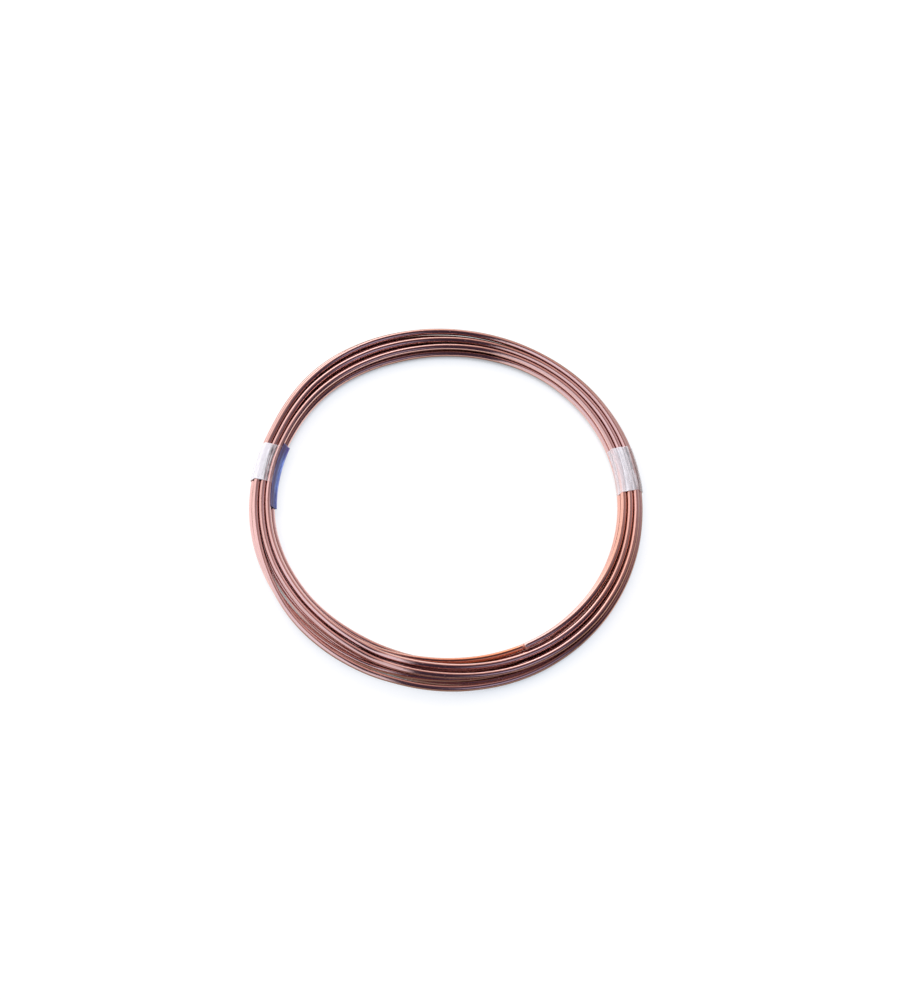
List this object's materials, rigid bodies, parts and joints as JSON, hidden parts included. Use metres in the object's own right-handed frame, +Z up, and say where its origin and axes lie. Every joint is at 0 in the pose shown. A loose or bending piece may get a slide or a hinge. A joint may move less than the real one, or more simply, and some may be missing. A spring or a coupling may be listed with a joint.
{
  "type": "copper wire coil",
  "caption": "Ring-shaped coil of bare copper wire, wound in overlapping layers, held by bands of clear tape and lying flat.",
  "frame": {"origin": "middle of the coil's box, on the floor it lies on", "axes": "+Z up through the eye of the coil; the loose front half, where the turns fan out and the visible wire end lies, is towards -Y"},
  "size_m": [0.0951, 0.0982, 0.0051],
  "materials": {
    "copper": "bright drawn copper",
    "clear_tape": "clear gloss",
    "blue_film": "satin film"
  },
  "bodies": {
    "root": {"wire": "copper", "tape_left": "clear_tape", "tape_right": "clear_tape", "blue_slip": "blue_film"}
  },
  "joints": []
}
